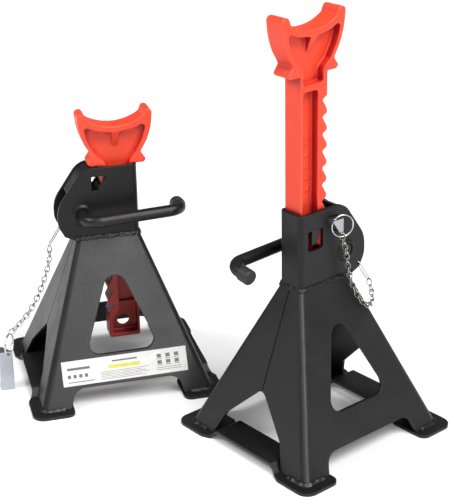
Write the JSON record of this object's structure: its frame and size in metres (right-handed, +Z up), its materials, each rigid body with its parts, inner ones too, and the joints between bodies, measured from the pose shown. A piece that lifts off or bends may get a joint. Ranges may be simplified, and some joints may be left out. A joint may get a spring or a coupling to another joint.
{
  "type": "axle jack stands",
  "caption": "Pair of ratchet axle stands: pressed steel base on foot rails, toothed sliding column with cradle saddle, bent release handle, wedge locking pin on a chain.",
  "frame": {"origin": "on the floor, at the centre of the footprint box of the pair", "axes": "+Z up from the floor; the raised stand's spine-to-teeth direction is +X and its handle hangs on +Y; the low stand stands behind it along +Y, turned 155 degrees"},
  "size_m": [0.2984, 0.4437, 0.413],
  "materials": {
    "black_sheet": "satin black powder coat",
    "black_weld": "powder coat over weld bead",
    "black_neck": "satin black powder coat",
    "black_rail": "satin black powder coat",
    "black_bar": "semi-gloss black powder coat",
    "black_cap": "satin black",
    "black_pawl": "dark oxide",
    "red_casting": "satin red-orange paint over a casting",
    "zinc_pin": "bright zinc plate",
    "spring_wire": "nickel plate",
    "nickel_chain": "nickel plate",
    "label_film": "printed film, made-up marks"
  },
  "bodies": {
    "raised_stand_base": {"raised_base_shell_pin_side": "black_sheet", "raised_base_shell_handle_side": "black_sheet", "raised_base_seam_welds": "black_weld", "raised_neck_housing": "black_neck", "raised_neck_weld": "black_weld", "raised_ear_cover_strip": "black_neck", "raised_lower_bridge_plate": "black_neck", "raised_foot_rail_teeth_side": "black_rail", "raised_foot_rail_spine_side": "black_rail", "raised_foot_welds": "black_weld", "raised_rating_label": "label_film", "raised_chain_links": "nickel_chain", "raised_chain_wire_link": "spring_wire"},
    "raised_column": {"raised_ratchet_column": "red_casting"},
    "raised_handle_and_pawl": {"raised_handle_bar": "black_bar", "raised_handle_end_cap": "black_cap", "raised_pawl": "black_pawl", "raised_pawl_welds": "black_weld"},
    "low_stand_base": {"low_base_shell_pin_side": "black_sheet", "low_base_shell_handle_side": "black_sheet", "low_base_seam_welds": "black_weld", "low_neck_housing": "black_neck", "low_neck_weld": "black_weld", "low_ear_cover_strip": "black_neck", "low_lower_bridge_plate": "black_neck", "low_foot_rail_teeth_side": "black_rail", "low_foot_rail_spine_side": "black_rail", "low_foot_welds": "black_weld", "low_rating_label": "label_film"},
    "low_column": {"low_ratchet_column": "red_casting"},
    "low_handle_and_pawl": {"low_handle_bar": "black_bar", "low_handle_end_cap": "black_cap", "low_pawl": "black_pawl", "low_pawl_welds": "black_weld"},
    "raised_pin_and_ring": {"raised_locking_pin": "zinc_pin", "raised_split_ring": "spring_wire"},
    "low_pin_on_chain": {"low_locking_pin": "zinc_pin", "low_split_ring": "spring_wire", "low_chain_links": "nickel_chain", "low_chain_wire_link": "spring_wire"}
  },
  "joints": [
    {"name": "low_stand_placing", "type": "slide", "parent": "raised_stand_base", "child": "low_stand_base", "axis": [0, 1, 0], "range_m": [0, 0.2]},
    {"name": "raised_column_slide", "type": "slide", "parent": "raised_stand_base", "child": "raised_column", "axis": [0, 0, 1], "range_m": [-0.096, 0]},
    {"name": "raised_handle_lift", "type": "hinge", "parent": "raised_stand_base", "child": "raised_handle_and_pawl", "pos_m": [0.0772, -0.1284, 0.182], "axis": [0, 1, 0], "range_deg": [0, 5]},
    {"name": "raised_pin_pull", "type": "slide", "parent": "raised_stand_base", "child": "raised_pin_and_ring", "axis": [0, -1, 0], "range_m": [0, 0.06]},
    {"name": "low_column_slide", "type": "slide", "parent": "low_stand_base", "child": "low_column", "axis": [0, 0, 1], "range_m": [0, 0.128]},
    {"name": "low_handle_lift", "type": "hinge", "parent": "low_stand_base", "child": "low_handle_and_pawl", "pos_m": [-0.04837, 0.11061, 0.182], "axis": [-0.4226, -0.9063, 0], "range_deg": [0, 32]},
    {"name": "low_chain_swing", "type": "hinge", "parent": "low_stand_base", "child": "low_pin_on_chain", "pos_m": [-0.05825, 0.12918, 0.1654], "axis": [0.4226, 0.9063, 0], "range_deg": [0, 25]}
  ]
}
